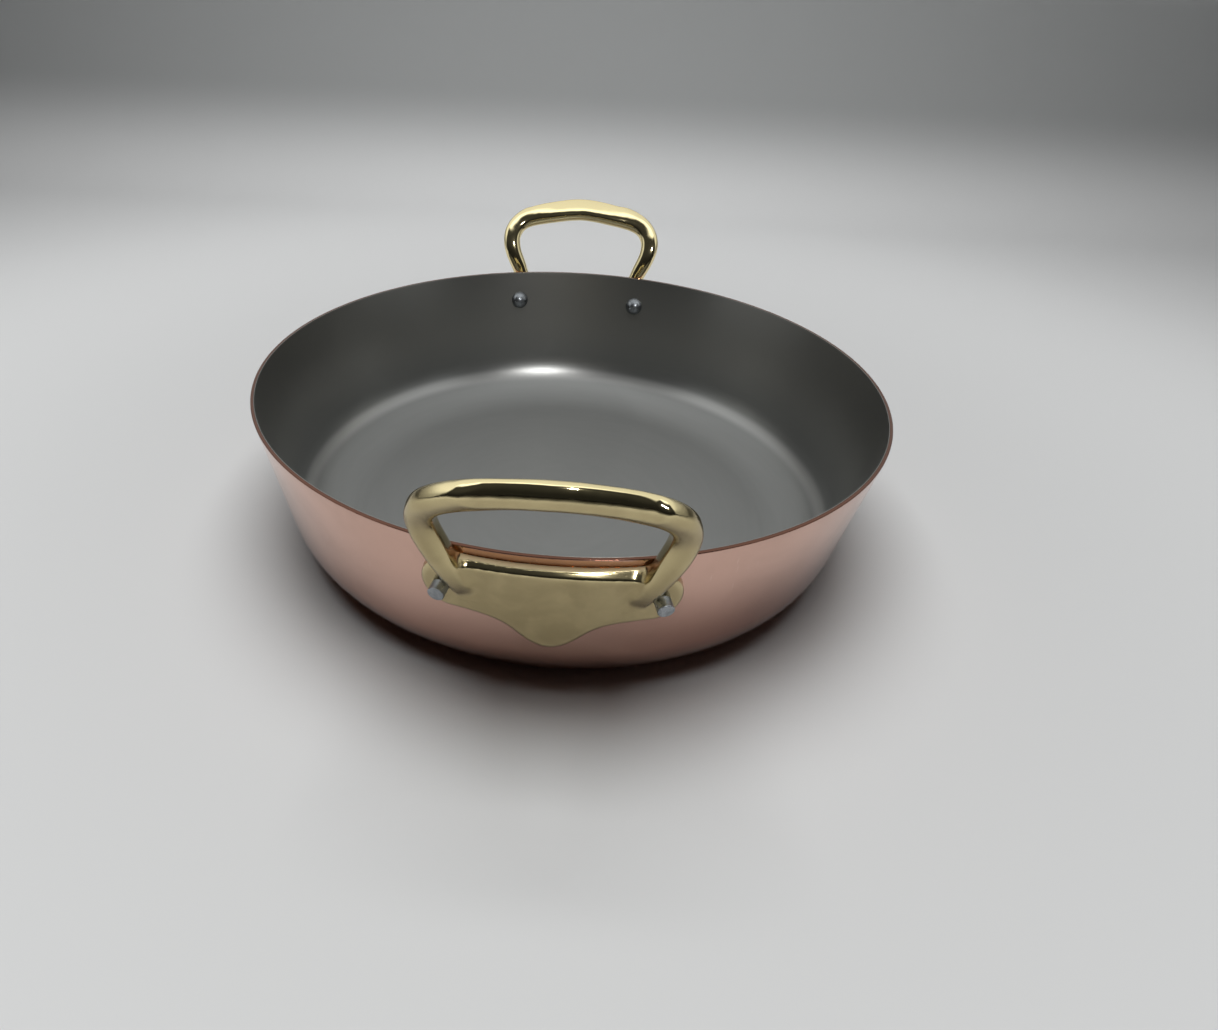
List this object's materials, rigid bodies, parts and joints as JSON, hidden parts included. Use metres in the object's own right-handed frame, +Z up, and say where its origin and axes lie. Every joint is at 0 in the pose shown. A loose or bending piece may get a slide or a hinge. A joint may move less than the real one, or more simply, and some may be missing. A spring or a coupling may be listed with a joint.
{
  "type": "gratin dish",
  "caption": "Round copper gratin dish with a steel lining, flared sides, and riveted brass loop handles on shield-shaped plates.",
  "frame": {"origin": "middle of the underside, on the surface that the dish stands on", "axes": "+Z up, the handles on the Y axis, the front one at -Y, +X to the right seen from the front"},
  "size_m": [0.2598, 0.3022, 0.1074],
  "materials": {
    "copper": "satin brushed copper",
    "lining_steel": "fine circular satin brushing",
    "cast_brass": "cast, polished on the grip and satin on the plate",
    "rivet_steel": "plain bright"
  },
  "bodies": {
    "root": {"copper_body": "copper", "steel_lining": "lining_steel", "front_handle": "cast_brass", "rear_handle": "cast_brass", "front_left_rivet": "rivet_steel", "front_right_rivet": "rivet_steel", "rear_left_rivet": "rivet_steel", "rear_right_rivet": "rivet_steel"}
  },
  "joints": []
}
